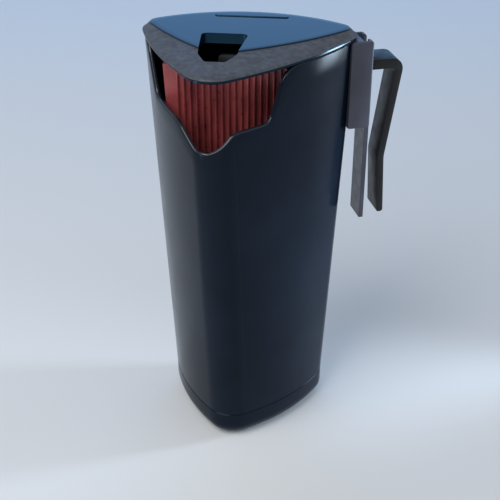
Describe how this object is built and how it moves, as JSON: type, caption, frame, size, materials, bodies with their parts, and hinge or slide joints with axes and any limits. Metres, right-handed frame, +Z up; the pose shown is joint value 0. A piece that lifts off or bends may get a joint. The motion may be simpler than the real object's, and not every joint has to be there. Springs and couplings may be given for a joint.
{
  "type": "internal power filter",
  "caption": "Small aquarium filter with a tapered rounded-triangle body, low spillway nose, lift-off lid, slide-in media and a corner hanger.",
  "frame": {"origin": "on the flat underside of the base grille, midway between the two back corners", "axes": "+Z up, -Y towards the nose, +X towards the side with the hanger; the hanger points 20 degrees from +X towards +Y, and the spillway mouth faces 25 degrees from -Y towards -X"},
  "size_m": [0.1116, 0.0816, 0.1912],
  "materials": {
    "shell": "glossy near-black navy moulded plastic",
    "lid": "glossy panel with a fine-textured front band",
    "rail": "satin dark plastic",
    "hanger": "satin black plastic",
    "insert": "satin dark plastic",
    "scrubber": "wet maroon plastic with vertical ribs",
    "media_frame": "dark moulded plastic",
    "floss": "needled polyester floss",
    "carbon": "granular activated carbon",
    "pump": "satin black plastic",
    "steel": "stacked laminations",
    "copper": "enamelled copper winding",
    "magnet": "sintered ferrite",
    "ceramic": "polished ceramic",
    "impeller": "natural moulded plastic",
    "rubber": "soft black rubber"
  },
  "bodies": {
    "housing": {"body_shell": "shell", "media_basin": "insert", "riser_tube": "insert", "riser_seal": "rubber", "mount_rail": "rail", "pump_housing": "pump", "pump_cap": "pump", "impeller_chamber": "pump", "chamber_cover": "pump", "cord_gland": "rubber", "stator_core": "steel", "coil_left": "copper", "coil_right": "copper", "rotor_shaft": "ceramic", "bush_upper": "rubber", "bush_lower": "rubber", "pump_foot_1": "rubber", "pump_foot_2": "rubber", "pump_foot_3": "rubber"},
    "lid": {"lid": "lid"},
    "cartridge": {"cartridge_frame": "media_frame", "carbon_bed": "carbon", "floss_pad_front": "floss", "floss_pad_back": "floss"},
    "scrubber": {"bio_scrubber": "scrubber"},
    "hanger": {"hanger_clip": "hanger"},
    "rotor": {"rotor_magnet": "magnet", "impeller": "impeller"},
    "base": {"base_grille": "shell"}
  },
  "joints": [
    {"name": "lid_lift", "type": "slide", "parent": "housing", "child": "lid", "axis": [0, 0, 1], "range_m": [0, 0.14]},
    {"name": "cartridge_lift", "type": "slide", "parent": "housing", "child": "cartridge", "axis": [0, 0, 1], "range_m": [0, 0.091]},
    {"name": "scrubber_lift", "type": "slide", "parent": "housing", "child": "scrubber", "axis": [0, 0, 1], "range_m": [0, 0.084]},
    {"name": "hanger_slide", "type": "slide", "parent": "housing", "child": "hanger", "axis": [0, 0, 1], "range_m": [0, 0.022]},
    {"name": "impeller_spin", "type": "hinge", "parent": "housing", "child": "rotor", "pos_m": [-0.0037, -0.0085, 0.03], "axis": [0, 0, 1], "continuous": true},
    {"name": "base_pull", "type": "slide", "parent": "housing", "child": "base", "axis": [0, 0, -1], "range_m": [0, 0.03]}
  ],
  "couplings": [
    {"joint": "cartridge_lift", "follows": "lid_lift", "ratio": 0.65},
    {"joint": "scrubber_lift", "follows": "lid_lift", "ratio": 0.6}
  ]
}
